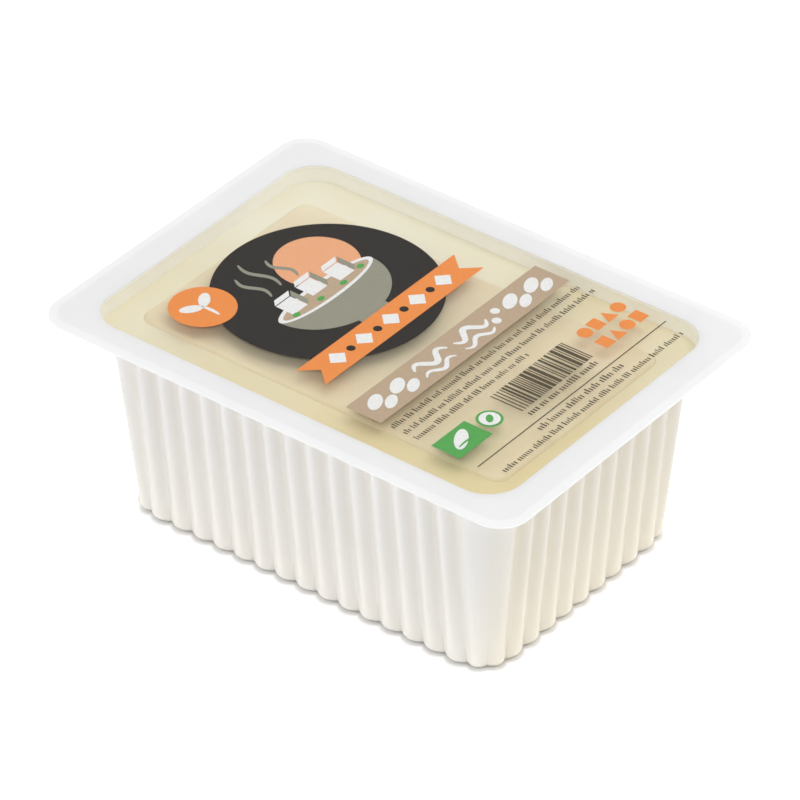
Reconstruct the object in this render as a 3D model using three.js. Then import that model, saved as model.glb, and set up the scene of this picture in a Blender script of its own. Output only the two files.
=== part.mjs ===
// A sealed pack of tofu: a ribbed tray with a flange round its mouth, a block of tofu standing in it,
// and a clear film lid sealed onto the flange. All sizes are in millimetres. The origin is at the middle
// of the underside, X runs along the pack, Y across it and Z up.
import * as THREE from 'three';

// Driving dimensions of the flange, which is also the outer size of the pack
const flangeLength = 125;
const flangeWidth = 89.5;
const flangeCornerRadius = 7;
const flangeThickness = 0.7;
const flangeEdgeRounding = 0.2;
const trayHeight = 50.9;

// The mouth is where the film's seal ends and the wall begins
const mouthLength = 109.2;
const mouthWidth = 75.8;
const mouthCornerRadius = 8.3;
const mouthRounding = 0.2;

// The ribbed wall, measured over the crests of its ribs, narrows from the flange to the base
const wallThickness = 0.7;
const wallTopLength = 108.2;
const wallTopWidth = 77;
const wallTopCornerRadius = 11.6;
const wallBaseLength = 99.6;
const wallBaseWidth = 67;
const wallBaseCornerRadius = 9;
const baseEdgeRadius = 2;

// The ribs end at a small shoulder under the flange, above which the wall is plain
const shoulderBottomZ = 44.4;
const shoulderTopZ = 46.8;

// The ribs stand at the same places from top to base. At the base they are round with sharp grooves
// between them, and higher up they turn into even waves. Each corner has a few shallow ones.
const ribDepth = 1.3;
const longSideRibs = 15;
const longSideRibPitch = 5.7;
const shortSideRibs = 9;
const shortSideRibPitch = 5.8;
const ribsPerCorner = 2;
const cornerGrooveShare = 0.5;
const evenWaveZ = 8;
const stepsPerRib = 4;

// The block of tofu, whose upright corners are pressed rounder at its foot, where the tray narrows
const tofuHeight = 46.8;
const tofuTopLength = 97;
const tofuTopWidth = 56.6;
const tofuTopCornerRadius = 3.5;
const tofuBaseLength = 93.6;
const tofuBaseWidth = 55.4;
const tofuBaseCornerRadius = 6;
const tofuEdgeRadius = 1.4;

// The film lid, cut a little smaller than the flange
const filmThickness = 0.25;
const filmInset = 2;

const stepsPerPlainCorner = 8;
const stepsPerEdge = 3;

// A rounded rectangle centred on the Z axis, at one height
function outline(length, width, cornerRadius, z) {
  return { halfLength: length / 2, halfWidth: width / 2, cornerRadius, z };
}

// The same outline moved inwards, or outwards where the distance is negative, and to another height
function inset(shape, distance, z) {
  return {
    halfLength: shape.halfLength - distance,
    halfWidth: shape.halfWidth - distance,
    cornerRadius: shape.cornerRadius - distance,
    z,
  };
}

// An outline part of the way from one to another, by height
function between(low, high, z) {
  const share = (z - low.z) / (high.z - low.z);
  return {
    halfLength: THREE.MathUtils.lerp(low.halfLength, high.halfLength, share),
    halfWidth: THREE.MathUtils.lerp(low.halfWidth, high.halfWidth, share),
    cornerRadius: THREE.MathUtils.lerp(low.cornerRadius, high.cornerRadius, share),
    z,
  };
}

// A quarter of an outline runs from the middle of a long side, at the front, round the corner to the
// middle of a short side. This is its length.
function quarterLength(shape) {
  const straights = shape.halfLength + shape.halfWidth - 2 * shape.cornerRadius;
  return straights + (shape.cornerRadius * Math.PI) / 2;
}

// The point at a distance along the quarter, pushed outwards by a bulge
function quarterPoint(shape, distance, bulge) {
  const frontStraight = shape.halfLength - shape.cornerRadius;
  const sideStraight = shape.halfWidth - shape.cornerRadius;
  const reach = shape.cornerRadius + bulge;
  const arcEnd = quarterLength(shape) - sideStraight;
  if (distance <= frontStraight) {
    return new THREE.Vector3(distance, -shape.halfWidth - bulge, shape.z);
  }
  if (distance >= arcEnd) {
    return new THREE.Vector3(shape.halfLength + bulge, distance - arcEnd - sideStraight, shape.z);
  }
  const angle = (distance - frontStraight) / shape.cornerRadius;
  return new THREE.Vector3(
    frontStraight + reach * Math.sin(angle),
    -sideStraight - reach * Math.cos(angle),
    shape.z,
  );
}

// The distance from the middle of a side to the point of the outline that lies offset along that side
function distanceAlongSide(halfSide, cornerRadius, offset) {
  const straight = halfSide - cornerRadius;
  if (offset <= straight) {
    return offset;
  }
  return straight + cornerRadius * Math.asin((offset - straight) / cornerRadius);
}

// The grooves between ribs, as distances along the quarter
function grooveDistances(shape) {
  const grooves = [];
  for (let rib = 0; rib < longSideRibs / 2; rib += 1) {
    const offset = (rib + 0.5) * longSideRibPitch;
    grooves.push(distanceAlongSide(shape.halfLength, shape.cornerRadius, offset));
  }
  const sideGrooves = [];
  for (let rib = 0; rib < shortSideRibs / 2; rib += 1) {
    const offset = (rib + 0.5) * shortSideRibPitch;
    const fromSide = distanceAlongSide(shape.halfWidth, shape.cornerRadius, offset);
    sideGrooves.unshift(quarterLength(shape) - fromSide);
  }
  const cornerStart = grooves[grooves.length - 1];
  const cornerEnd = sideGrooves[0];
  for (let rib = 1; rib < ribsPerCorner; rib += 1) {
    grooves.push(THREE.MathUtils.lerp(cornerStart, cornerEnd, rib / ribsPerCorner));
  }
  return grooves.concat(sideGrooves);
}

// The whole ring from its quarter, by symmetry, counter-clockwise seen from above
function ringFromQuarter(quarter) {
  const forward = quarter.slice(0, -1);
  const backward = quarter.slice(1).reverse();
  const place = (points, signX, signY) => points.map(
    (point) => new THREE.Vector3(point.x * signX, point.y * signY, point.z),
  );
  return [
    ...place(forward, 1, 1),
    ...place(backward, 1, -1),
    ...place(forward, -1, -1),
    ...place(backward, -1, 1),
  ];
}

// How far a rib stands out at a share of its width, from 0 in the grooves to 1 on the crest
function ribHeight(share, z) {
  const round = 1 - (2 * share - 1) ** 2;
  const wave = 0.5 - 0.5 * Math.cos(2 * Math.PI * share);
  return THREE.MathUtils.lerp(round, wave, Math.min(1, z / evenWaveZ));
}

// The same for a corner, whose ribs share one broad swell with shallow grooves in it
function cornerHeight(ribsPassed, z) {
  const fromEnd = Math.min(ribsPassed, ribsPerCorner - ribsPassed);
  const swell = fromEnd < 0.5 ? ribHeight(fromEnd, z) : 1;
  const dip = 1 - ribHeight(ribsPassed % 1, z);
  return fromEnd < 0.5 ? swell : swell - cornerGrooveShare * dip;
}

// A ring with ribs. The outline goes through the grooves, and the ribs bulge from it by depth.
function ribbedRing(shape, depth) {
  const end = quarterLength(shape);
  const grooves = grooveDistances(shape);
  const limits = [-grooves[0], ...grooves, 2 * end - grooves[grooves.length - 1]];
  const firstCornerRib = Math.ceil(longSideRibs / 2);
  const halfRib = stepsPerRib / 2;
  const quarter = [];
  for (let rib = 0; rib < limits.length - 1; rib += 1) {
    const firstStep = rib === 0 ? halfRib : 0;
    const lastStep = rib === limits.length - 2 ? halfRib : stepsPerRib - 1;
    const cornerRib = rib - firstCornerRib;
    const inCorner = cornerRib >= 0 && cornerRib < ribsPerCorner;
    for (let step = firstStep; step <= lastStep; step += 1) {
      const share = step / stepsPerRib;
      const distance = THREE.MathUtils.lerp(limits[rib], limits[rib + 1], share);
      const height = inCorner ? cornerHeight(cornerRib + share, shape.z) : ribHeight(share, shape.z);
      quarter.push(quarterPoint(shape, distance, depth * height));
    }
  }
  return ringFromQuarter(quarter);
}

// A ring without ribs
function plainRing(shape) {
  const frontStraight = shape.halfLength - shape.cornerRadius;
  const arc = (shape.cornerRadius * Math.PI) / 2;
  const quarter = [quarterPoint(shape, 0, 0)];
  for (let step = 0; step <= stepsPerPlainCorner; step += 1) {
    const distance = frontStraight + (arc * step) / stepsPerPlainCorner;
    quarter.push(quarterPoint(shape, distance, 0));
  }
  quarter.push(quarterPoint(shape, quarterLength(shape), 0));
  return ringFromQuarter(quarter);
}

// How far round the Z axis a ring's point lies, from the middle of the front side. A point past the last
// is the first one again, a full turn on.
function turnOf(ring, index) {
  if (index === ring.length) {
    return 2 * Math.PI;
  }
  const angle = Math.atan2(ring[index].x, -ring[index].y);
  return index > 0 && angle <= 0 ? angle + 2 * Math.PI : angle;
}

// Triangles of the band between two rings. Rings of the same number of points are joined point to point,
// and others in the order that their points come round the Z axis.
function bandTriangles(lower, upper) {
  const sameNumber = lower.length === upper.length;
  const progress = (ring, index) => (sameNumber ? index : turnOf(ring, index));
  const triangles = [];
  let low = 0;
  let high = 0;
  while (low < lower.length || high < upper.length) {
    const lowPoint = lower[low % lower.length];
    const highPoint = upper[high % upper.length];
    const lowNext = low < lower.length ? progress(lower, low + 1) : Infinity;
    const highNext = high < upper.length ? progress(upper, high + 1) : Infinity;
    if (lowNext <= highNext) {
      low += 1;
      triangles.push([lowPoint, lower[low % lower.length], highPoint]);
    } else {
      high += 1;
      triangles.push([lowPoint, upper[high % upper.length], highPoint]);
    }
  }
  return triangles;
}

// Triangles that close a ring to a point at its middle
function capTriangles(ring, facesDown) {
  const middle = new THREE.Vector3(0, 0, ring[0].z);
  return ring.map((point, index) => {
    const next = ring[(index + 1) % ring.length];
    return facesDown ? [middle, next, point] : [middle, point, next];
  });
}

// A closed solid that runs over its rings in order, from a downward cap to an upward one
function solidFromRings(rings) {
  const triangles = [...capTriangles(rings[0], true)];
  for (let index = 0; index < rings.length - 1; index += 1) {
    triangles.push(...bandTriangles(rings[index], rings[index + 1]));
  }
  triangles.push(...capTriangles(rings[rings.length - 1], false));
  const geometry = new THREE.BufferGeometry().setFromPoints(triangles.flat());
  geometry.computeVertexNormals();
  return geometry;
}

// The steps of a rounded edge that turns from a flat face up into a wall, as the inset and the rise of each
function edgeSteps(radius) {
  const steps = [];
  for (let step = 0; step <= stepsPerEdge; step += 1) {
    const angle = (step / stepsPerEdge) * (Math.PI / 2);
    steps.push({ inset: radius * (1 - Math.sin(angle)), rise: radius * (1 - Math.cos(angle)) });
  }
  return steps;
}

// The outline through the outer grooves of the wall at a height
function wallGrooves(z) {
  const top = outline(wallTopLength, wallTopWidth, wallTopCornerRadius, trayHeight);
  const base = outline(wallBaseLength, wallBaseWidth, wallBaseCornerRadius, 0);
  const crests = between(base, top, z);
  return inset(crests, ribDepth, z);
}

// The wall's rings from the flat of the base up to the mouth, on the outer face or on the inner one
function wallRings(floorZ, topZ, offset, edgeRadius) {
  const mouth = outline(mouthLength, mouthWidth, mouthCornerRadius, trayHeight);
  const plainWall = inset(mouth, mouthRounding - wallThickness + offset, topZ);
  const rings = edgeSteps(edgeRadius).map((step) => {
    const z = floorZ + step.rise;
    return ribbedRing(inset(wallGrooves(z), offset + step.inset, z), ribDepth);
  });
  [evenWaveZ, shoulderBottomZ].forEach((z) => {
    rings.push(ribbedRing(inset(wallGrooves(z), offset, z), ribDepth));
  });
  rings.push(ribbedRing(inset(plainWall, 0, shoulderTopZ), 0));
  rings.push(ribbedRing(plainWall, 0));
  return rings;
}

// The flange's rings from the wall's outer face out over the edge and back to the mouth
function flangeRings() {
  const edge = outline(flangeLength, flangeWidth, flangeCornerRadius, trayHeight);
  const mouth = outline(mouthLength, mouthWidth, mouthCornerRadius, trayHeight);
  const undersideZ = trayHeight - flangeThickness;
  return [
    plainRing(inset(edge, flangeEdgeRounding, undersideZ)),
    plainRing(inset(edge, 0, undersideZ + flangeEdgeRounding)),
    plainRing(inset(edge, 0, trayHeight - flangeEdgeRounding)),
    plainRing(inset(edge, flangeEdgeRounding, trayHeight)),
    plainRing(mouth),
  ];
}

function trayGeometry() {
  const outerWall = wallRings(0, trayHeight - flangeThickness, 0, baseEdgeRadius);
  const innerWall = wallRings(
    wallThickness,
    trayHeight - mouthRounding,
    wallThickness,
    baseEdgeRadius - wallThickness,
  );
  return solidFromRings([...outerWall, ...flangeRings(), ...innerWall.reverse()]);
}

// The block stands on the tray's floor, with soft edges all round
function tofuGeometry() {
  const base = outline(tofuBaseLength, tofuBaseWidth, tofuBaseCornerRadius, wallThickness);
  const top = outline(tofuTopLength, tofuTopWidth, tofuTopCornerRadius, wallThickness + tofuHeight);
  const bottomEdge = edgeSteps(tofuEdgeRadius).map((step) => {
    const z = base.z + step.rise;
    return plainRing(inset(between(base, top, z), step.inset, z));
  });
  const topEdge = edgeSteps(tofuEdgeRadius).reverse().map((step) => {
    const z = top.z - step.rise;
    return plainRing(inset(between(base, top, z), step.inset, z));
  });
  return solidFromRings([...bottomEdge, ...topEdge]);
}

// The film is a thin plate on top of the flange
function filmGeometry() {
  const flange = outline(flangeLength, flangeWidth, flangeCornerRadius, trayHeight);
  return solidFromRings([
    plainRing(inset(flange, filmInset, trayHeight)),
    plainRing(inset(flange, filmInset, trayHeight + filmThickness)),
  ]);
}

function namedMesh(name, geometry, material) {
  const mesh = new THREE.Mesh(geometry, new THREE.MeshStandardMaterial(material));
  mesh.name = name;
  return mesh;
}

const group = new THREE.Group();
group.add(
  namedMesh('tray', trayGeometry(), { color: 0xf0efeb, roughness: 0.4, metalness: 0 }),
  namedMesh('tofu', tofuGeometry(), { color: 0xe8dec3, roughness: 0.6, metalness: 0 }),
  namedMesh('film_lid', filmGeometry(), {
    color: 0xf2f1e6,
    roughness: 0.12,
    metalness: 0,
    transparent: true,
    opacity: 0.3,
  }),
);

export default group;
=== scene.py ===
import math
import random

import bpy
import numpy as np
from mathutils import Matrix, Vector, noise
from mathutils.geometry import delaunay_2d_cdt


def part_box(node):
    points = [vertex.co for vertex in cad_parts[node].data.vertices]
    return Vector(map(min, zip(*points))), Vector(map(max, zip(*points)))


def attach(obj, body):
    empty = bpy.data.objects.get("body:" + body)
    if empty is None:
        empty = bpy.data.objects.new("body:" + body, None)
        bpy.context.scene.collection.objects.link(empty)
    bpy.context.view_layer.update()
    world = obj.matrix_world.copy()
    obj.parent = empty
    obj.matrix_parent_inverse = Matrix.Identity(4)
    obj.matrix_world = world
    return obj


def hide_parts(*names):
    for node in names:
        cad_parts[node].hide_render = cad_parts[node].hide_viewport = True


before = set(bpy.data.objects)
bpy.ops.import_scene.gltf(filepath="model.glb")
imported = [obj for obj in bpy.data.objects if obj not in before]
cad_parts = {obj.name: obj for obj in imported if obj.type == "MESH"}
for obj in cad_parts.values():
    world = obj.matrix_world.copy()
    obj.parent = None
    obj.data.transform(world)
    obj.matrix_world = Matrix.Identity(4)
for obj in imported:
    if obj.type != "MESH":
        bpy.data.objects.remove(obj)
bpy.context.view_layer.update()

# Lengths are in millimetres unless a name says otherwise, and meshes are written in metres.
# X runs along the pack, Y across it and Z up, from the middle of the underside.
METRES = 0.001


def node_size(node):
    """The size of a CAD node and the height of its underside, in millimetres."""
    low, high = (np.array(corner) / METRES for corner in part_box(node))
    return high - low, low[2]


TRAY_SIZE, _ = node_size("tray")
TOFU_SIZE, TOFU_FLOOR = node_size("tofu")
FILM_SIZE, FILM_Z = node_size("film_lid")

# The tray. An outline is given as its length, its width and its corner radius.
FLANGE_CORNER_RADIUS = 7.0
FLANGE_THICKNESS = 0.7
FLANGE_EDGE_ROUNDING = 0.2
UNDER_FLANGE_FILLET = 0.6
MOUTH = (109.2, 75.8, 8.3)
MOUTH_ROUNDING = 0.2
WALL_THICKNESS = 0.7
WALL_TOP = (108.2, 77.0, 11.6)
WALL_BASE = (99.6, 67.0, 9.0)
BASE_EDGE_RADIUS = 2.0
SHOULDER_BOTTOM_Z = 44.4
SHOULDER_TOP_Z = 46.8
LOW_WALL_RINGS = 4
HIGH_WALL_RINGS = 5
SHOULDER_RINGS = 8

# Its ribs
RIB_DEPTH = 1.3
LONG_SIDE_RIBS, LONG_SIDE_PITCH = 15, 5.7
SHORT_SIDE_RIBS, SHORT_SIDE_PITCH = 9, 5.8
RIBS_PER_CORNER = 2
CORNER_GROOVE_SHARE = 0.5
EVEN_WAVE_Z = 8.0
STEPS_PER_RIB = 12

# How much creamy tint the wall gets, which is partly the contents seen through it and partly painted
# shade in its grooves and on its ends, with painted highlights on the crests higher up; and where the
# wall's ends begin
GROOVE_SHADE_AND_CREAM = 0.36
CREST_HIGHLIGHT = 0.75
END_SHADE_AND_CREAM = 0.36
END_FROM_X = 42.0
END_TO_Y = 34.0
END_FADE = 6.0

# The tofu. Its faces are a little uneven, and less so near its foot.
TOFU_TOP_CORNER_RADIUS = 3.5
TOFU_BASE = (93.6, 55.4, 6.0)
TOFU_EDGE_RADIUS = 1.4
TOFU_WALL_RINGS = 14
TOFU_CORNER_STEPS, TOFU_SIDE_STEPS = 10, 24
TOFU_TOP_STEP = 2.0
TOFU_UNEVENNESS, TOFU_FINE_UNEVENNESS = 0.14, 0.05
TOFU_WAVES_PER_MM = 0.09
TOFU_TIMES_FINER = 4
TOFU_FOOT_HEIGHT = 3.0
TOFU_SEED = 7

# The water reaches just into the wall and up to the film. Its lower part is cloudy.
WATER_INTO_WALL = 0.3
WATER_BELOW_FILM = 0.6
CLOUDY_INTO_WALL = 0.2
CLOUDY_TOP_Z = 46.8
CLEAR_ALPHA, CLOUDY_ALPHA = 0.13, 0.92

# Its colour goes from pale at its rear corner to darker and warmer at its near one, which is painted
# shade, with some mottling
NEAR_SHADE_FROM_METRES, NEAR_SHADE_TO_METRES = -0.023, 0.115
NEAR_SHADE_MOTTLING_METRES = 0.12

# The film and the print on its underside
FILM_INSET = 2.0
FILM_THICKNESS = 0.06
FILM_ABOVE_FLANGE = 0.02
FILM_SAG = 0.22
FILM_WAVE = 0.05
FILM_WAVES_X, FILM_WAVES_Y = 0.03, 0.04
FILM_WAVE_SLICE = 3.0
FILM_MESH_STEP = 2.5
PRINT_THICKNESS = 0.012
PRINT_STEP = 0.02
PRINT_LAYERS = 7
PRINT_MESH_STEP = 3.0
PRINT_SEED = 11

# The label's design. Its places are across and up from the label's middle.
PICTURE_MIDDLE = (0.5, 19.5)
DISC_RADIUS = 25.2
SUN_RADIUS = 9.5
BOWL_HALF_WIDTH, BOWL_DEPTH = 15.5, 13.0
CUBE_SIZE = 4.8
RIBBON_HALF_LENGTH, RIBBON_HALF_WIDTH, RIBBON_NOTCH = 27.0, 4.0, 3.5
RIBBON_PITCH = 9.0
SEAL_MIDDLE = (-20.5, 36.5)
SEAL_RADIUS = 7.4
BAND_MIDDLE = (2.3, -14.3)
BAND_SIZE = (64.8, 9.2)
MARKS_UP = -35.6
BARS_FROM, BARS_TO, BARS_UP = -9.0, 15.5, -35.2
BAR_UNIT, BAR_HEIGHT = 0.33, 8.4
SHAPES_FROM, SHAPE_PITCH, SHAPE_HALF = 21.3, 3.9, 1.75
STROKE_TIP = 0.12
STROKE_POINTS = 24

# The small print. Heights and a letter are shares of a line's height, widths and gaps of a letter.
SMALL_LINE, LARGE_LINE = 1.5, 1.7
LETTER_SHARE = 0.3
LETTER_WIDTHS = (0.6, 0.9)
LETTER_HEIGHTS = (0.68, 0.68, 1.0)
LETTER_GAP, WORD_GAP = 0.8, 1.2
LETTERS_IN_WORD = (3, 9)

# Colours, as display values between 0 and 255
PLASTIC_DIM, PLASTIC_BRIGHT = (225, 225, 226), (229, 229, 230)
# The wall's creamy tint is partly painted shade, and its inner colour is painted light
PLASTIC_SHADE_AND_CREAM = (218, 206, 178)
PLASTIC_INNER_PAINTED_LIGHT = (250, 247, 231)
CURD_DIM, CURD_BRIGHT = (232, 216, 181), (239, 227, 197)
WHEY_GREENISH, WHEY_CREAM = (251, 250, 233), (250, 244, 222)
# The whey's darker, warmer colour at the near corner is painted shade
WHEY_NEAR_SHADE = (243, 228, 180)
INKS = {
    "charcoal": (27, 20, 12),
    "orange": (240, 146, 70),
    "tan": (190, 167, 140),
    "peach": (238, 173, 128),
    "grey": (150, 149, 132),
    "white": (238, 238, 236),
    "green": (84, 168, 80),
    "brown": (84, 74, 52),
}
THIN_INK = 0.93

# The floor gives off light, evenly far from the pack and most in a painted pool of light just outside
# its foot, and none under the pack, which paints a contact shadow at its foot
FLOOR_HALF = 2500.0
FLOOR_CORNER_RADIUS = 10.0
FLOOR_THICKNESS = 10.0
FLOOR_TOP_Z = -0.05
FLOOR_SHADOW_WIDTH = 2.5
FLOOR_LIGHT_POOL_REACH = 40.0
FLOOR_FAR_GLOW, FLOOR_LIGHT_POOL_GLOW = 0.3, 0.85

# The view of the photograph
CAMERA_AIM = (-5.73, 7.57, 24.08)
CAMERA_AZIMUTH = 38.215
CAMERA_ELEVATION = 35.91
CAMERA_ROLL = 0.29
CAMERA_DISTANCE = 1254.5
CAMERA_LENS = 263.55
CAMERA_SENSOR = 36.0
CAMERA_REACH_METRES = 10.0

# The lights, each with its azimuth, elevation, diameter and power in watts
LIGHTS = {
    "top": (100, 72, 800, 2.15),
    "left": (-52, 20, 450, 0.9),
    "right": (168, 20, 350, 0.8),
}
LIGHT_DISTANCE = 900.0
WORLD_BRIGHTNESS = 0.8

# How meshes are made
SHARP_DEGREES = 38.0
FILL_INSIDE, SAME_PLACE = 1, 1e-6


# Outlines

class Outline:
    """A rounded rectangle round the Z axis at one height."""

    def __init__(self, length, width, radius, z=0.0):
        self.half_length = length / 2
        self.half_width = width / 2
        self.radius = radius
        self.z = z

    def inset(self, distance, z):
        """The outline moved inwards by a distance, at a new height."""
        return Outline(
            2 * (self.half_length - distance),
            2 * (self.half_width - distance),
            self.radius - distance,
            z,
        )

    def toward(self, other, share, z):
        """The outline that lies a share of the way to another, at a new height."""
        def mix(a, b):
            return a + (b - a) * share

        return Outline(
            2 * mix(self.half_length, other.half_length),
            2 * mix(self.half_width, other.half_width),
            mix(self.radius, other.radius),
            z,
        )

    def quarter_length(self):
        straights = self.half_length + self.half_width - 2 * self.radius
        return straights + self.radius * math.pi / 2

    def point(self, distance, bulge=0.0):
        """A point of the quarter from the middle of the front side to that of the right side."""
        front = self.half_length - self.radius
        side = self.half_width - self.radius
        arc_end = self.quarter_length() - side
        if distance <= front:
            return (distance, -self.half_width - bulge)
        if distance >= arc_end:
            return (self.half_length + bulge, distance - arc_end - side)
        angle = (distance - front) / self.radius
        reach = self.radius + bulge
        return (front + reach * math.sin(angle), -side - reach * math.cos(angle))


def along_side(half_side, radius, offset):
    """The distance from a side's middle to the point of the outline that lies offset along that side."""
    straight = half_side - radius
    if offset <= straight:
        return offset
    return straight + radius * math.asin((offset - straight) / radius)


def groove_distances(shape):
    """Where the grooves between ribs cross a quarter of the outline."""
    end = shape.quarter_length()
    front = [
        along_side(shape.half_length, shape.radius, (rib + 0.5) * LONG_SIDE_PITCH)
        for rib in range((LONG_SIDE_RIBS + 1) // 2)
    ]
    side = [
        end - along_side(shape.half_width, shape.radius, (rib + 0.5) * SHORT_SIDE_PITCH)
        for rib in range((SHORT_SIDE_RIBS + 1) // 2)
    ][::-1]
    shares = [rib / RIBS_PER_CORNER for rib in range(1, RIBS_PER_CORNER)]
    corner = [front[-1] + (side[0] - front[-1]) * share for share in shares]
    return front + corner + side


def full_ring(quarter, z):
    """A whole ring from its quarter, by symmetry, as an array of points."""
    quarter = np.array(quarter)
    forward, backward = quarter[:-1], quarter[:0:-1]
    flat = np.vstack([forward, backward * (1, -1), -forward, backward * (-1, 1)])
    return np.column_stack([flat, np.full(len(flat), z)])


def rib_height(share, z):
    """How far a rib stands out at a share of its width, from 0 in the grooves to 1 on the crest."""
    rounded = 1 - (2 * share - 1) ** 2
    wave = 0.5 - 0.5 * math.cos(2 * math.pi * share)
    return rounded + (wave - rounded) * min(1.0, z / EVEN_WAVE_Z)


def corner_height(ribs_passed, z):
    """The same for a corner, whose ribs share one broad swell with shallow grooves in it."""
    from_end = min(ribs_passed, RIBS_PER_CORNER - ribs_passed)
    if from_end < 0.5:
        return rib_height(from_end, z)
    return 1 - CORNER_GROOVE_SHARE * (1 - rib_height(ribs_passed % 1, z))


def ribbed_ring(shape, depth):
    """A ring with ribs, and how high on its rib each point lies, from 0 in a groove to 1 on a crest."""
    end = shape.quarter_length()
    grooves = groove_distances(shape)
    limits = [-grooves[0], *grooves, 2 * end - grooves[-1]]
    first_corner_rib = (LONG_SIDE_RIBS + 1) // 2
    half = STEPS_PER_RIB // 2
    quarter, heights = [], []
    for rib, (start, stop) in enumerate(zip(limits, limits[1:])):
        first = half if rib == 0 else 0
        last = half if rib == len(limits) - 2 else STEPS_PER_RIB - 1
        corner_rib = rib - first_corner_rib
        for step in range(first, last + 1):
            share = step / STEPS_PER_RIB
            if 0 <= corner_rib < RIBS_PER_CORNER:
                height = corner_height(corner_rib + share, shape.z)
            else:
                height = rib_height(share, shape.z)
            quarter.append(shape.point(start + (stop - start) * share, depth * height))
            heights.append(height)
    heights = np.array(heights)
    around = np.concatenate([heights[:-1], heights[:0:-1], heights[:-1], heights[:0:-1]])
    return full_ring(quarter, shape.z), around


def plain_ring(shape, corner_steps=16, side_steps=10):
    """A ring without ribs."""
    front = shape.half_length - shape.radius
    side = shape.half_width - shape.radius
    arc = shape.radius * math.pi / 2
    distances = [front * step / side_steps for step in range(side_steps)]
    distances += [front + arc * step / corner_steps for step in range(corner_steps)]
    distances += [front + arc + side * step / side_steps for step in range(side_steps + 1)]
    return full_ring([shape.point(distance) for distance in distances], shape.z)


def edge_steps(radius, steps=6):
    """The steps of a rounded edge from a flat face up into a wall, as the inset and the rise of each."""
    angles = [step / steps * math.pi / 2 for step in range(steps + 1)]
    return [(radius * (1 - math.sin(a)), radius * (1 - math.cos(a))) for a in angles]


# Meshes

def band_faces(lower, upper, low_start, high_start):
    """Faces between two rings, which may have different numbers of points."""
    if len(lower) == len(upper):
        count = len(lower)
        return [
            (
                low_start + i,
                low_start + (i + 1) % count,
                high_start + (i + 1) % count,
                high_start + i,
            )
            for i in range(count)
        ]

    def turns(ring):
        angles = np.arctan2(ring[:, 0], -ring[:, 1]) % (2 * math.pi)
        angles[0] = 0.0
        return [*angles, 2 * math.pi]

    low_turns, high_turns = turns(lower), turns(upper)
    faces = []
    low = high = 0
    while low < len(lower) or high < len(upper):
        a = low_start + low % len(lower)
        b = high_start + high % len(upper)
        low_next = low_turns[low + 1] if low < len(lower) else math.inf
        high_next = high_turns[high + 1] if high < len(upper) else math.inf
        if low_next <= high_next:
            low += 1
            faces.append((a, low_start + low % len(lower), b))
        else:
            high += 1
            faces.append((a, high_start + high % len(upper), b))
    return faces


def triangulated(outline, spacing):
    """Points and upward triangles that fill a flat outline, with a grid of points inside it."""
    xs, ys = zip(*outline)
    columns = np.arange(min(xs) + spacing / 2, max(xs), spacing)
    rows = np.arange(min(ys) + spacing / 2, max(ys), spacing)
    grid = [(x, y) for x in columns for y in rows]
    count = len(outline)
    border = [(i, (i + 1) % count) for i in range(count)]
    flat = [Vector((float(x), float(y))) for x, y in [*outline, *grid]]
    whole = [list(range(count))]
    points, _, triangles, *_ = delaunay_2d_cdt(flat, border, whole, FILL_INSIDE, SAME_PLACE)
    upward = []
    for a, b, c in triangles:
        area = (points[b] - points[a]).cross(points[c] - points[a])
        upward.append((a, b, c) if area > 0 else (a, c, b))
    return points, upward


def loft(rings, top_spacing=None):
    """A closed mesh over rings in order, from a cap that faces down to one that faces up. With a spacing
    the top cap has a grid of points."""
    points, faces, starts = [], [], []
    for ring in rings:
        starts.append(len(points))
        points.extend(ring)
    for i in range(len(rings) - 1):
        faces += band_faces(rings[i], rings[i + 1], starts[i], starts[i + 1])
    bottom, top = rings[0], rings[-1]
    middle = len(points)
    points.append((0.0, 0.0, bottom[0][2]))
    faces += [(middle, (i + 1) % len(bottom), i) for i in range(len(bottom))]
    if top_spacing is None:
        middle = len(points)
        points.append((0.0, 0.0, top[0][2]))
        faces += [(middle, starts[-1] + i, starts[-1] + (i + 1) % len(top)) for i in range(len(top))]
        return np.array(points, float), faces
    cap_points, triangles = triangulated([(x, y) for x, y, _ in top], top_spacing)
    shift = len(points) - len(top)
    points += [(x, y, top[0][2]) for x, y in cap_points[len(top):]]
    for triangle in triangles:
        faces.append(tuple(starts[-1] + i if i < len(top) else shift + i for i in triangle))
    return np.array(points, float), faces


def new_piece(name, points, faces, material):
    """A mesh object from points in millimetres, smooth except at sharp edges."""
    mesh = bpy.data.meshes.new(name)
    mesh.from_pydata((np.asarray(points) * METRES).tolist(), [], faces)
    mesh.update()
    mesh.shade_smooth()
    mesh.set_sharp_from_angle(angle=math.radians(SHARP_DEGREES))
    mesh.materials.append(material)
    piece = bpy.data.objects.new(name, mesh)
    bpy.context.scene.collection.objects.link(piece)
    return piece


def keep_on_points(piece, name, values):
    """Stores a number on each point of a piece, for its material."""
    attribute = piece.data.attributes.new(name, "FLOAT", "POINT")
    attribute.data.foreach_set("value", np.asarray(values, np.float32))


# Material helpers

def new_material(name):
    """A material with its node tree emptied, the tree, and its output."""
    material = bpy.data.materials.new(name)
    material.use_nodes = True
    tree = material.node_tree
    tree.nodes.clear()
    output = tree.nodes.new("ShaderNodeOutputMaterial")
    return material, tree, output


def add_node(tree, kind, inputs=None, **settings):
    """A node with values on its inputs, which are given by name or number, and with its settings."""
    node = tree.nodes.new(kind)
    for key, value in settings.items():
        setattr(node, key, value)
    for key, value in (inputs or {}).items():
        node.inputs[key].default_value = value
    return node


def noise_node(tree, scale, detail, roughness=0.5):
    """Noise over the object's own coordinates, in metres."""
    place = add_node(tree, "ShaderNodeTexCoord")
    texture = add_node(
        tree, "ShaderNodeTexNoise", {"Scale": scale, "Detail": detail, "Roughness": roughness}
    )
    tree.links.new(place.outputs["Object"], texture.inputs["Vector"])
    return texture


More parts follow.
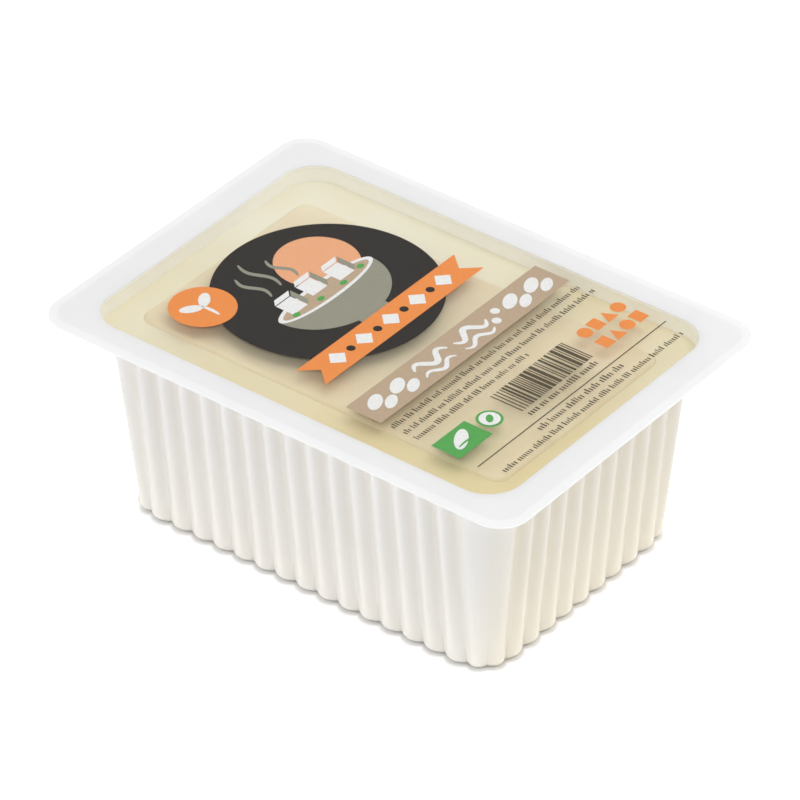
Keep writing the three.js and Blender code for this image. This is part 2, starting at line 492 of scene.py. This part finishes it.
def colour_ramp(tree, source, stops):
    """A ramp from a number to a colour. The stops are pairs of place and linear colour."""
    ramp = add_node(tree, "ShaderNodeValToRGB")
    elements = ramp.color_ramp.elements
    while len(elements) < len(stops):
        elements.new(0.5)
    for element, (place, colour) in zip(elements, stops):
        element.position = place
        element.color = (*colour, 1.0)
    tree.links.new(source, ramp.inputs["Fac"])
    return ramp.outputs["Color"]


def mix_colour(tree, share, first, second):
    """Mixes a colour socket with a constant colour, by a share socket. The node's colours are its
    inputs 6 and 7 and its output 2."""
    node = add_node(tree, "ShaderNodeMix", data_type="RGBA")
    tree.links.new(share, node.inputs[0])
    tree.links.new(first, node.inputs[6])
    node.inputs[7].default_value = (*second, 1.0)
    return node.outputs[2]


def bump(tree, height, strength, distance):
    """A normal from a height. The distance is in metres."""
    node = add_node(tree, "ShaderNodeBump", {"Strength": strength, "Distance": distance})
    tree.links.new(height, node.inputs["Height"])
    return node.outputs["Normal"]


def rough_from(tree, source, low, high):
    """A roughness between two values, from a number between 0 and 1."""
    node = add_node(tree, "ShaderNodeMapRange", {"To Min": low, "To Max": high})
    tree.links.new(source, node.inputs["Value"])
    return node.outputs["Result"]


def linear(red, green, blue):
    """A linear colour from display values between 0 and 255."""
    def one(value):
        value /= 255
        return value / 12.92 if value <= 0.04045 else ((value + 0.055) / 1.055) ** 2.4

    return (one(red), one(green), one(blue))


# Materials

def tray_material():
    """Milky thermoformed plastic. Its outside is tinted creamy, partly by the contents seen through it
    and partly as painted shade in its grooves and on its ends, and its inside is painted brighter, a
    painted light that stands in for light coming through the wall.
    """
    material, tree, output = new_material("milky_plastic")
    shader = add_node(
        tree,
        "ShaderNodeBsdfPrincipled",
        {
            "IOR": 1.49,
            "Subsurface Weight": 0.45,
            "Subsurface Radius": (0.003, 0.003, 0.003),
            "Subsurface Scale": 1.0,
        },
    )
    mottle = noise_node(tree, scale=60.0, detail=3.0)
    stops = [(0.3, linear(*PLASTIC_DIM)), (0.7, linear(*PLASTIC_BRIGHT))]
    plain = colour_ramp(tree, mottle.outputs["Fac"], stops)
    # Creamy tint outside: painted shade in the grooves and on the ends, lighter crests as a painted
    # highlight, and partly the contents seen through
    shade_and_cream = add_node(tree, "ShaderNodeAttribute", attribute_name="shade_and_cream")
    tinted = mix_colour(tree, shade_and_cream.outputs["Fac"], plain, linear(*PLASTIC_SHADE_AND_CREAM))
    # A brighter colour on the inner face, painted light that stands in for light coming through the wall
    inside = add_node(tree, "ShaderNodeAttribute", attribute_name="inside")
    lit = mix_colour(tree, inside.outputs["Fac"], tinted, linear(*PLASTIC_INNER_PAINTED_LIGHT))
    tree.links.new(lit, shader.inputs["Base Color"])
    fine = noise_node(tree, scale=500.0, detail=3.0)
    roughness = rough_from(tree, fine.outputs["Fac"], low=0.34, high=0.44)
    tree.links.new(roughness, shader.inputs["Roughness"])
    normal = bump(tree, fine.outputs["Fac"], strength=0.05, distance=0.0001)
    tree.links.new(normal, shader.inputs["Normal"])
    tree.links.new(shader.outputs[0], output.inputs["Surface"])
    return material


def tofu_material():
    """Moist bean curd with faint mottling and fine pores."""
    material, tree, output = new_material("bean_curd")
    shader = add_node(
        tree,
        "ShaderNodeBsdfPrincipled",
        {
            "IOR": 1.36,
            "Subsurface Weight": 0.25,
            "Subsurface Radius": (0.005, 0.004, 0.0025),
            "Subsurface Scale": 0.5,
        },
    )
    clouds = noise_node(tree, scale=60.0, detail=4.0, roughness=0.6)
    stops = [(0.3, linear(*CURD_DIM)), (0.7, linear(*CURD_BRIGHT))]
    colour = colour_ramp(tree, clouds.outputs["Fac"], stops)
    tree.links.new(colour, shader.inputs["Base Color"])
    place = add_node(tree, "ShaderNodeTexCoord")
    pores = add_node(tree, "ShaderNodeTexVoronoi", {"Scale": 700.0})
    tree.links.new(place.outputs["Object"], pores.inputs["Vector"])
    normal = bump(tree, pores.outputs["Distance"], strength=0.2, distance=0.0002)
    tree.links.new(normal, shader.inputs["Normal"])
    roughness = rough_from(tree, clouds.outputs["Fac"], low=0.42, high=0.58)
    tree.links.new(roughness, shader.inputs["Roughness"])
    tree.links.new(shader.outputs[0], output.inputs["Surface"])
    return material


def whey_material(name, alpha):
    """Whey with fine curd in it, pale and greenish at the rear corner, and darker and warmer towards the
    near one, which is painted shade.
    """
    material, tree, output = new_material(name)
    shader = add_node(tree, "ShaderNodeBsdfPrincipled", {"IOR": 1.34, "Alpha": alpha})
    clouds = noise_node(tree, scale=28.0, detail=2.0)
    stops = [(0.36, linear(*WHEY_GREENISH)), (0.62, linear(*WHEY_CREAM))]
    cool = colour_ramp(tree, clouds.outputs["Fac"], stops)
    place = add_node(tree, "ShaderNodeTexCoord")
    nearer = add_node(tree, "ShaderNodeVectorMath", {1: (1.0, -1.0, 0.0)}, operation="DOT_PRODUCT")
    tree.links.new(place.outputs["Object"], nearer.inputs[0])
    mottled = add_node(tree, "ShaderNodeMath", {1: NEAR_SHADE_MOTTLING_METRES}, operation="MULTIPLY_ADD")
    tree.links.new(clouds.outputs["Fac"], mottled.inputs[0])
    tree.links.new(nearer.outputs["Value"], mottled.inputs[2])
    # Painted shade: the colour turns darker and warmer towards the near corner
    near_shade_range = {"From Min": NEAR_SHADE_FROM_METRES, "From Max": NEAR_SHADE_TO_METRES}
    near_shade = add_node(tree, "ShaderNodeMapRange", near_shade_range)
    tree.links.new(mottled.outputs[0], near_shade.inputs["Value"])
    colour = mix_colour(tree, near_shade.outputs["Result"], cool, linear(*WHEY_NEAR_SHADE))
    tree.links.new(colour, shader.inputs["Base Color"])
    roughness = rough_from(tree, clouds.outputs["Fac"], low=0.35, high=0.55)
    tree.links.new(roughness, shader.inputs["Roughness"])
    tree.links.new(shader.outputs[0], output.inputs["Surface"])
    return material


def reflectivity(tree, normal, head_on):
    """How much a clear surface reflects, from head_on when seen straight to 1 at a grazing angle."""
    weight = add_node(tree, "ShaderNodeLayerWeight", {"Blend": 0.5})
    tree.links.new(normal, weight.inputs["Normal"])
    steep = add_node(tree, "ShaderNodeMath", {1: 5.0}, operation="POWER")
    tree.links.new(weight.outputs["Facing"], steep.inputs[0])
    share = add_node(tree, "ShaderNodeMapRange", {"To Min": head_on, "To Max": 1.0})
    tree.links.new(steep.outputs[0], share.inputs["Value"])
    return share.outputs["Result"]


def clear_material(name, tint, gloss_roughness, head_on, wave_scale, wave_depth):
    """A thin clear layer: tinted see-through with a glossy reflection."""
    material, tree, output = new_material(name)
    through = add_node(tree, "ShaderNodeBsdfTransparent", {"Color": (*tint, 1.0)})
    gloss = add_node(tree, "ShaderNodeBsdfGlossy", {"Roughness": gloss_roughness})
    waves = noise_node(tree, wave_scale, detail=2.0)
    normal = bump(tree, waves.outputs["Fac"], strength=0.5, distance=wave_depth)
    tree.links.new(normal, gloss.inputs["Normal"])
    mix = add_node(tree, "ShaderNodeMixShader")
    tree.links.new(reflectivity(tree, normal, head_on), mix.inputs[0])
    tree.links.new(through.outputs[0], mix.inputs[1])
    tree.links.new(gloss.outputs[0], mix.inputs[2])
    tree.links.new(mix.outputs[0], output.inputs["Surface"])
    return material


def ink_material(name, colour):
    """Printing ink on the film, with the faint unevenness of a flexible press."""
    material, tree, output = new_material(name)
    shader = add_node(tree, "ShaderNodeBsdfPrincipled", {"IOR": 1.2})
    grain = noise_node(tree, scale=1400.0, detail=2.0)
    full = linear(*colour)
    thin = tuple(THIN_INK * value for value in full)
    tone = colour_ramp(tree, grain.outputs["Fac"], [(0.35, thin), (0.6, full)])
    tree.links.new(tone, shader.inputs["Base Color"])
    roughness = rough_from(tree, grain.outputs["Fac"], low=0.4, high=0.5)
    tree.links.new(roughness, shader.inputs["Roughness"])
    normal = bump(tree, grain.outputs["Fac"], strength=0.02, distance=0.0001)
    tree.links.new(normal, shader.inputs["Normal"])
    tree.links.new(shader.outputs[0], output.inputs["Surface"])
    return material


def floor_material():
    """A white floor that shines by an amount stored on its points, with a painted pool of light round
    the pack and a painted contact shadow at its foot.
    """
    material, tree, output = new_material("studio_white")
    shader = add_node(
        tree,
        "ShaderNodeBsdfPrincipled",
        {
            "Base Color": (0.93, 0.93, 0.93, 1.0),
            "Roughness": 0.8,
            "Emission Color": (1.0, 1.0, 1.0, 1.0),
        },
    )
    # The floor's pool of light and contact shadow are painted into its emission
    glow_and_painted_shadow = add_node(tree, "ShaderNodeAttribute", attribute_name="glow_and_painted_shadow")
    tree.links.new(glow_and_painted_shadow.outputs["Fac"], shader.inputs["Emission Strength"])
    tree.links.new(shader.outputs[0], output.inputs["Surface"])
    return material


# The tray

def wall_grooves(z):
    """The outline through the outer grooves of the wall at a height."""
    base, top = Outline(*WALL_BASE), Outline(*WALL_TOP)
    return base.toward(top, z / TRAY_SIZE[2], z).inset(RIB_DEPTH, z)


def wall_rings(floor_z, top_z, offset, edge_radius):
    """Rings of the wall's outer or inner face, from the flat of the base up, with their rib heights."""
    plain_wall = Outline(*MOUTH).inset(MOUTH_ROUNDING - WALL_THICKNESS + offset, top_z)
    low_z = floor_z + edge_radius
    rings = []
    for inward, rise in edge_steps(edge_radius):
        z = floor_z + rise
        rings.append(ribbed_ring(wall_grooves(z).inset(offset + inward, z), RIB_DEPTH))
    low_heights = np.linspace(low_z, EVEN_WAVE_Z, LOW_WALL_RINGS + 1)[1:]
    high_heights = np.linspace(EVEN_WAVE_Z, SHOULDER_BOTTOM_Z, HIGH_WALL_RINGS + 1)[1:]
    for z in [*low_heights, *high_heights]:
        rings.append(ribbed_ring(wall_grooves(z).inset(offset, z), RIB_DEPTH))
    for step in range(1, SHOULDER_RINGS + 1):
        along = step / SHOULDER_RINGS
        share = along * along * (3 - 2 * along)
        z = SHOULDER_BOTTOM_Z + (SHOULDER_TOP_Z - SHOULDER_BOTTOM_Z) * along
        shape = wall_grooves(z).inset(offset, z).toward(plain_wall, share, z)
        rings.append(ribbed_ring(shape, RIB_DEPTH * (1 - share)))
    rings.append(ribbed_ring(plain_wall, 0.0))
    return rings


def flange_rings(height):
    """Rings from the wall out under the flange, over its edge and back to the rounded mouth."""
    edge = Outline(TRAY_SIZE[0], TRAY_SIZE[1], FLANGE_CORNER_RADIUS)
    mouth = Outline(*MOUTH)
    wall = mouth.inset(MOUTH_ROUNDING - WALL_THICKNESS, height)
    under_z = height - FLANGE_THICKNESS
    shapes = []
    for drop, outward in edge_steps(UNDER_FLANGE_FILLET, 4)[1:]:
        shapes.append(wall.inset(-outward, under_z - drop))
    for inward, rise in edge_steps(FLANGE_EDGE_ROUNDING, 3):
        shapes.append(edge.inset(inward, under_z + rise))
    for inward, rise in edge_steps(FLANGE_EDGE_ROUNDING, 3)[::-1]:
        shapes.append(edge.inset(inward, height - rise))
    for left, drop in edge_steps(MOUTH_ROUNDING, 5)[:-1]:
        shapes.append(mouth.inset(MOUTH_ROUNDING - left, height - drop))
    return [plain_ring(shape) for shape in shapes]


def make_tray(material):
    height = TRAY_SIZE[2]
    outer = wall_rings(0.0, height - FLANGE_THICKNESS - UNDER_FLANGE_FILLET, 0.0, BASE_EDGE_RADIUS)
    inner_radius = BASE_EDGE_RADIUS - WALL_THICKNESS
    inner = wall_rings(WALL_THICKNESS, height - MOUTH_ROUNDING, WALL_THICKNESS, inner_radius)[::-1]
    rings = [ring for ring, _ in outer] + flange_rings(height) + [ring for ring, _ in inner]
    points, faces = loft(rings)
    piece = new_piece("tray_shell", points, faces, material)
    # More creamy tint goes on the wall in its grooves, near its foot and at its ends. It is partly the
    # contents seen through the milky plastic where the block is near, and partly painted shade in the
    # grooves and on the ends; the crests lose it higher up, which paints a highlight on them
    shade_and_cream = np.zeros(len(points))
    start = 0
    for ring, heights in outer:
        x, y = np.abs(ring[:, 0]), np.abs(ring[:, 1])
        far_along = np.clip((x - END_FROM_X) / END_FADE, 0.0, 1.0)
        off_corner = np.clip((END_TO_Y - y) / END_FADE, 0.0, 1.0)
        at_end = far_along * off_corner
        groove = 1 - CREST_HIGHLIGHT * heights * ring[:, 2] / height
        shade_and_cream[start:start + len(ring)] = GROOVE_SHADE_AND_CREAM * groove + END_SHADE_AND_CREAM * at_end
        start += len(ring)
    # The inner rings come last, before the middle points of the two caps
    # The inner face is painted brighter, standing in for light that comes through the wall
    inside = np.zeros(len(points))
    inside[len(points) - 2 - sum(len(ring) for ring, _ in inner):] = 1.0
    keep_on_points(piece, "shade_and_cream", shade_and_cream)
    keep_on_points(piece, "inside", inside)
    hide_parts("tray")
    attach(piece, "root")


# The tofu

def make_tofu(material):
    base = Outline(*TOFU_BASE)
    top = Outline(TOFU_SIZE[0], TOFU_SIZE[1], TOFU_TOP_CORNER_RADIUS)
    edge = edge_steps(TOFU_EDGE_RADIUS)
    walls = np.linspace(TOFU_EDGE_RADIUS, TOFU_SIZE[2] - TOFU_EDGE_RADIUS, TOFU_WALL_RINGS + 2)[1:-1]
    heights = [*edge, *((0.0, rise) for rise in walls)]
    heights += [(inward, TOFU_SIZE[2] - rise) for inward, rise in edge[::-1]]
    rings = []
    for inward, rise in heights:
        z = TOFU_FLOOR + rise
        shape = base.toward(top, rise / TOFU_SIZE[2], z).inset(inward, z)
        rings.append(plain_ring(shape, TOFU_CORNER_STEPS, TOFU_SIDE_STEPS))
    points, faces = loft(rings, top_spacing=TOFU_TOP_STEP)
    # Without a seed, noise_vector gives other numbers in each run
    noise.seed_set(TOFU_SEED)
    for index, point in enumerate(points):
        place = Vector(point) * TOFU_WAVES_PER_MM
        coarse = noise.noise_vector(place) * TOFU_UNEVENNESS
        fine = noise.noise_vector(place * TOFU_TIMES_FINER) * TOFU_FINE_UNEVENNESS
        above_foot = min(1.0, (point[2] - TOFU_FLOOR) / TOFU_FOOT_HEIGHT)
        points[index] = point + np.array(coarse + fine) * above_foot
    piece = new_piece("tofu_block", points, faces, material)
    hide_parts("tofu")
    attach(piece, "root")


# The water

def make_water(name, into_wall, top_z, material):
    """Water that fills the tray up to a level, and reaches just into its wall."""
    offset = WALL_THICKNESS - into_wall
    rings = wall_rings(offset, top_z, offset, BASE_EDGE_RADIUS - offset)
    points, faces = loft([ring for ring, _ in rings])
    piece = new_piece(name, points, faces, material)
    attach(piece, "root")


# The film and its print

def film_height(x, y):
    """How far the film lies above its sealed level. It sags a little over the mouth, with slow waves."""
    inside_x = max(0.0, 1 - (2 * x / MOUTH[0]) ** 2)
    inside_y = max(0.0, 1 - (2 * y / MOUTH[1]) ** 2)
    wave = noise.noise(Vector((x * FILM_WAVES_X, y * FILM_WAVES_Y, FILM_WAVE_SLICE)))
    return inside_x * inside_y * (FILM_WAVE * wave - FILM_SAG)


def refined(outline, longest):
    """The outline with points added so that no edge is longer than a limit."""
    result = []
    for (x0, y0), (x1, y1) in zip(outline, [*outline[1:], outline[0]]):
        steps = max(1, math.ceil(math.hypot(x1 - x0, y1 - y0) / longest))
        result += [(x0 + (x1 - x0) * i / steps, y0 + (y1 - y0) * i / steps) for i in range(steps)]
    return result


def film_plates(fields, thickness, spacing):
    """Thin closed plates that follow the film, from pairs of a height above it and a flat outline."""
    points, faces = [], []
    for low, outline in fields:
        flat, triangles = triangulated(refined(outline, spacing), spacing)
        start, count = len(points), len(flat)
        for offset in (low + thickness, low):
            points += [(x, y, FILM_Z + film_height(x, y) + offset) for x, y in flat]
        edges = set()
        for a, b, c in triangles:
            faces.append((start + a, start + b, start + c))
            faces.append((start + count + a, start + count + c, start + count + b))
            edges.update(((a, b), (b, c), (c, a)))
        for a, b in sorted(edges):
            if (b, a) not in edges:
                faces.append((start + a, start + count + a, start + count + b, start + b))
    return points, faces


def make_film(material):
    outline = Outline(FILM_SIZE[0], FILM_SIZE[1], FLANGE_CORNER_RADIUS - FILM_INSET)
    ring = [tuple(point[:2]) for point in plain_ring(outline)]
    points, faces = film_plates([(FILM_ABOVE_FLANGE, ring)], FILM_THICKNESS, FILM_MESH_STEP)
    piece = new_piece("clear_film", points, faces, material)
    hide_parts("film_lid")
    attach(piece, "root")


class Label:
    """Fields of ink, gathered by colour. Their places are across and up on the label, which reads along
    Y with its top towards -X. Higher layers cover lower ones."""

    def __init__(self):
        self.fields = {}

    def add(self, ink, layer, outline):
        low = FILM_ABOVE_FLANGE + (layer - PRINT_LAYERS - 1) * PRINT_STEP
        self.fields.setdefault(ink, []).append((low, [(-up, across) for across, up in outline]))

    def print_with(self, inks):
        for ink, fields in self.fields.items():
            points, faces = film_plates(fields, PRINT_THICKNESS, PRINT_MESH_STEP)
            piece = new_piece("print_" + ink, points, faces, inks[ink])
            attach(piece, "root")


def oval(across, up, half_width, half_height=None, turn=0.0, start=0.0, stop=360.0, steps=32):
    """An ellipse, or the part of one between two angles, closed by a straight line."""
    half_height = half_width if half_height is None else half_height
    cos, sin = math.cos(math.radians(turn)), math.sin(math.radians(turn))
    whole = stop - start == 360.0
    angles = np.radians(np.linspace(start, stop, steps, endpoint=not whole))
    flat = [(half_width * math.cos(a), half_height * math.sin(a)) for a in angles]
    return [(across + a * cos - b * sin, up + a * sin + b * cos) for a, b in flat]


def block(across, up, width, height, turn=0.0):
    """A rectangle by its middle, turned by degrees."""
    cos, sin = math.cos(math.radians(turn)), math.sin(math.radians(turn))
    w, h = width / 2, height / 2
    corners = [(-w, -h), (w, -h), (w, h), (-w, h)]
    return [(across + a * cos - b * sin, up + a * sin + b * cos) for a, b in corners]


def stroke(points, width):
    """A brush stroke along points, thinner towards its ends."""
    points = np.array(points)
    ways = np.gradient(points, axis=0)
    sides = np.column_stack([-ways[:, 1], ways[:, 0]]) / np.linalg.norm(ways, axis=1)[:, None]
    turns = np.linspace(STROKE_TIP, math.pi - STROKE_TIP, len(points))
    swell = np.sin(turns)[:, None] ** 0.5 * width / 2
    return [tuple(p) for p in [*(points + sides * swell), *(points - sides * swell)[::-1]]]


def wavy(across, up, length, swing, waves, width, upright=False):
    """A wavy stroke from a starting place."""
    along = np.linspace(0, 1, STROKE_POINTS)
    sway = swing * np.sin(along * waves * 2 * math.pi)
    if upright:
        return stroke(np.column_stack([across + sway, up + along * length]), width)
    return stroke(np.column_stack([across + along * length, up + sway]), width)


def small_print(label, draw, start, stop, up, height):
    """A line of small upright marks in groups, as lettering looks from afar."""
    letter = LETTER_SHARE * height
    across = start
    while across < stop:
        for _ in range(draw.randint(*LETTERS_IN_WORD)):
            width = letter * draw.uniform(*LETTER_WIDTHS)
            tall = height * draw.choice(LETTER_HEIGHTS)
            if across + width < stop:
                label.add("brown", 5, block(across + width / 2, up + tall / 2, width, tall))
            across += width + LETTER_GAP * letter
        across += WORD_GAP * letter


def draw_cube(label, across, up, size):
    """A cube with a white front and top and a grey side, by the middle of its front."""
    half, back, gap = size / 2, size * 0.3, size * 0.05
    label.add("white", 6, block(across, up, size, size))
    left, right, top = across - half, across + half, up + half + gap
    top_face = [(left, top), (right, top), (right + back, top + back), (left + back, top + back)]
    label.add("white", 6, top_face)
    near, far, low = right + gap, right + gap + back, up - half
    side_face = [(near, low), (far, low + back), (far, up + half + back), (near, up + half)]
    label.add("grey", 6, side_face)


def draw_picture(label):
    """A bowl of tofu cubes in front of the sun, on a dark disc with a ribbon."""
    centre, level = PICTURE_MIDDLE
    label.add("charcoal", 1, oval(centre, level, DISC_RADIUS, steps=96))
    label.add("peach", 2, oval(centre + 7, level + 8.5, SUN_RADIUS, steps=48))
    for place, up, length in ((-9, 8, 10), (-4.5, 9, 12), (0.5, 8.5, 9)):
        steam = wavy(centre + place, level + up, length, 0.9, 1.0, 1.1, upright=True)
        label.add("grey", 3, steam)
    rim = level + 0.5
    bowl = oval(centre, rim, BOWL_HALF_WIDTH, BOWL_DEPTH, start=180, stop=360, steps=40)
    label.add("grey", 3, bowl)
    label.add("grey", 2, block(centre, level - 12.6, 9, 2.4))
    label.add("white", 4, oval(centre, rim, BOWL_HALF_WIDTH, 3.4, steps=48))
    label.add("tan", 5, oval(centre, level + 0.4, 14.2, 2.5, steps=48))
    for place, up in ((-9.0, 2.5), (-1.0, 3.6), (7.0, 2.6)):
        draw_cube(label, centre + place, level + up, CUBE_SIZE)
    for place, up in ((-11, -0.4), (-3.2, -0.7), (4.4, -0.8), (11.4, 0.2)):
        label.add("green", 7, oval(centre + place, level + up, 1.0, 0.7, steps=16))
    draw_ribbon(label, centre, level - 17)


def draw_ribbon(label, centre, level):
    """An orange ribbon with notched ends, with diamonds and dots along it."""
    left, right = centre - RIBBON_HALF_LENGTH, centre + RIBBON_HALF_LENGTH
    low, high = level - RIBBON_HALF_WIDTH, level + RIBBON_HALF_WIDTH
    label.add("orange", 6, [
        (left, low), (right, low), (right - RIBBON_NOTCH, level), (right, high),
        (left, high), (left + RIBBON_NOTCH, level),
    ])
    for place in range(-2, 3):
        label.add("white", 7, block(centre + RIBBON_PITCH * place, level, 3.4, 3.4, 45))
    for place in (-1.5, -0.5, 0.5, 1.5):
        label.add("charcoal", 7, oval(centre + RIBBON_PITCH * place, level, 1.0, steps=16))


def draw_seal(label):
    """A round orange seal with a sprout."""
    centre, level = SEAL_MIDDLE
    label.add("orange", 6, oval(centre, level, SEAL_RADIUS, steps=48))
    for place, turn in ((-2.2, 145), (2.2, 35)):
        label.add("white", 7, oval(centre + place, level + 1.4, 2.6, 1.3, turn, steps=24))
    label.add("white", 7, wavy(centre, level - 4.6, 5.0, 0.25, 0.5, 0.9, upright=True))


def draw_band(label):
    """A tan band with white beans, drops and waves."""
    middle, up = BAND_MIDDLE
    label.add("tan", 1, block(middle, up, *BAND_SIZE))
    for place in (-25, -17.6, 21, 28.4):
        label.add("white", 3, oval(place, up + 0.9, 2.9, 1.55, 28, steps=24))
        label.add("white", 3, oval(place + 2.2, up - 1.6, 2.5, 1.3, 28, steps=24))
    for place, swing in ((-11.5, 1.5), (1.5, -1.5)):
        label.add("white", 3, wavy(place, up + 1, 11, swing, 1.5, 1.5))
        label.add("white", 3, wavy(place, up - 2.2, 10, swing * 0.6, 1.5, 1.1))
    for place in (13.6, 16.2):
        label.add("white", 3, oval(place, up + 2.4 * (place - 14.9) / 2.6, 1.1, steps=16))


def draw_shape(label, kind, across, up):
    """A plain orange shape, which is a disc, a block or a triangle by its kind."""
    left, right = across - SHAPE_HALF, across + SHAPE_HALF
    low, high = up - SHAPE_HALF, up + SHAPE_HALF
    if kind == 0:
        label.add("orange", 4, oval(across, up, SHAPE_HALF, steps=24))
    elif kind == 1:
        label.add("orange", 4, block(across, up, 3.1, 3.5))
    else:
        label.add("orange", 4, [(left, low), (right, low), (across, high)])


def draw_panel(label, draw):
    """Small print, bars, a leaf mark and rows of orange shapes."""
    for stop, up in ((35, -22.4), (35, -25.6), (8, -28.6)):
        small_print(label, draw, -30, stop, up, SMALL_LINE)
    label.add("green", 2, block(-24.5, MARKS_UP, 11, 7.4))
    label.add("white", 4, oval(-24.5, -35.4, 3.6, 1.5, 32, steps=24))
    label.add("green", 5, wavy(-27.0, -36.8, 5.0, 0.2, 0.5, 0.5))
    label.add("green", 2, oval(-15.2, MARKS_UP, 2.9, steps=32))
    label.add("white", 4, oval(-15.2, MARKS_UP, 2.3, steps=32))
    label.add("green", 5, oval(-15.2, MARKS_UP, 1.4, 0.8, 40, steps=16))
    across = BARS_FROM
    while across < BARS_TO:
        width = BAR_UNIT * draw.choice((1, 1, 2, 3))
        label.add("brown", 4, block(across + width / 2, BARS_UP, width, BAR_HEIGHT))
        across += width + BAR_UNIT * draw.choice((1, 1, 2))
    small_print(label, draw, BARS_FROM, BARS_TO, -41.8, LARGE_LINE)
    for row, up in enumerate((-32.9, -38.2)):
        for place in range(4):
            draw_shape(label, (place + row) % 3, SHAPES_FROM + SHAPE_PITCH * place, up)
    label.add("brown", 4, block(2.5, -43.9, 65, 0.3))
    small_print(label, draw, -12, 17, -46.6, LARGE_LINE)
    small_print(label, draw, -28, 34, -49.6, SMALL_LINE)


# Studio

def make_floor(material):
    """A slab with rings of points on its top, for how brightly each part of it shines, with a painted
    pool of light round the pack and a painted contact shadow at its foot.
    """
    slab = Outline(2 * FLOOR_HALF, 2 * FLOOR_HALF, FLOOR_CORNER_RADIUS)
    foot = wall_grooves(0.0)
    bottom_z = FLOOR_TOP_Z - FLOOR_THICKNESS
    rings = [plain_ring(slab.inset(0.0, z)) for z in (bottom_z, FLOOR_TOP_Z)]
    rings.append(plain_ring(foot.inset(-FLOOR_LIGHT_POOL_REACH, FLOOR_TOP_Z)))
    glows = [FLOOR_FAR_GLOW] * sum(len(ring) for ring in rings)
    # The ring just outside the foot shines most, a painted pool of light, and the ring at the foot not
    # at all, a painted contact shadow
    for outward, glow_and_painted_shadow in ((FLOOR_SHADOW_WIDTH, FLOOR_LIGHT_POOL_GLOW), (0.0, 0.0)):
        ring, _ = ribbed_ring(foot.inset(-outward, FLOOR_TOP_Z), RIB_DEPTH)
        rings.append(ring)
        glows += [glow_and_painted_shadow] * len(ring)
    points, faces = loft(rings)
    floor = new_piece("studio_floor", points, faces, material)
    keep_on_points(floor, "glow_and_painted_shadow", glows + [0.0] * (len(points) - len(glows)))


def direction(azimuth, elevation):
    """The unit vector towards a viewer at an azimuth and an elevation, in degrees."""
    a, e = math.radians(azimuth), math.radians(elevation)
    return Vector((math.sin(a) * math.cos(e), -math.cos(a) * math.cos(e), math.sin(e)))


def add_soft_box(name, azimuth, elevation, size, power):
    """A round area light that looks at the middle of the pack and leaves no glare on it."""
    data = bpy.data.lights.new(name, "AREA")
    data.shape = "DISK"
    data.size = size * METRES
    data.energy = power
    light = bpy.data.objects.new(name, data)
    bpy.context.scene.collection.objects.link(light)
    light.visible_glossy = False
    back = direction(azimuth, elevation)
    light.location = (Vector((0, 0, TRAY_SIZE[2] / 2)) + back * LIGHT_DISTANCE) * METRES
    light.rotation_euler = back.to_track_quat("Z", "Y").to_euler()


def make_camera():
    data = bpy.data.cameras.new("photo_view")
    data.sensor_width = CAMERA_SENSOR
    data.lens = CAMERA_LENS
    data.clip_end = CAMERA_REACH_METRES
    camera = bpy.data.objects.new("photo_view", data)
    bpy.context.scene.collection.objects.link(camera)
    back = direction(CAMERA_AZIMUTH, CAMERA_ELEVATION)
    azimuth, roll = math.radians(CAMERA_AZIMUTH), math.radians(CAMERA_ROLL)
    right = Vector((math.cos(azimuth), math.sin(azimuth), 0.0))
    up = back.cross(right)
    turned_right = right * math.cos(roll) - up * math.sin(roll)
    turned_up = right * math.sin(roll) + up * math.cos(roll)
    turn = Matrix((turned_right, turned_up, back)).transposed()
    place = (Vector(CAMERA_AIM) + back * CAMERA_DISTANCE) * METRES
    camera.matrix_world = Matrix.Translation(place) @ turn.to_4x4()
    bpy.context.scene.camera = camera


def make_world():
    world = bpy.data.worlds.new("studio")
    world.use_nodes = True
    background = world.node_tree.nodes["Background"]
    background.inputs["Color"].default_value = (1.0, 1.0, 1.0, 1.0)
    background.inputs["Strength"].default_value = WORLD_BRIGHTNESS
    bpy.context.scene.world = world


make_camera()
make_world()
make_floor(floor_material())
for light_name, placing in LIGHTS.items():
    add_soft_box(light_name, *placing)
bpy.context.scene.view_settings.view_transform = "Standard"

make_tray(tray_material())
make_tofu(tofu_material())
clear_whey = whey_material("clear_whey", CLEAR_ALPHA)
make_water("clear_whey", WATER_INTO_WALL, FILM_Z - WATER_BELOW_FILM, clear_whey)
cloudy_whey = whey_material("cloudy_whey", CLOUDY_ALPHA)
make_water("cloudy_whey", CLOUDY_INTO_WALL, CLOUDY_TOP_Z, cloudy_whey)
make_film(clear_material(
    "sealing_film",
    tint=(0.995, 0.995, 0.995),
    gloss_roughness=0.14,
    head_on=0.008,
    wave_scale=35.0,
    wave_depth=0.0003,
))

label = Label()
draw_picture(label)
draw_seal(label)
draw_band(label)
draw_panel(label, random.Random(PRINT_SEED))
label.print_with({ink: ink_material("ink_" + ink, colour) for ink, colour in INKS.items()})
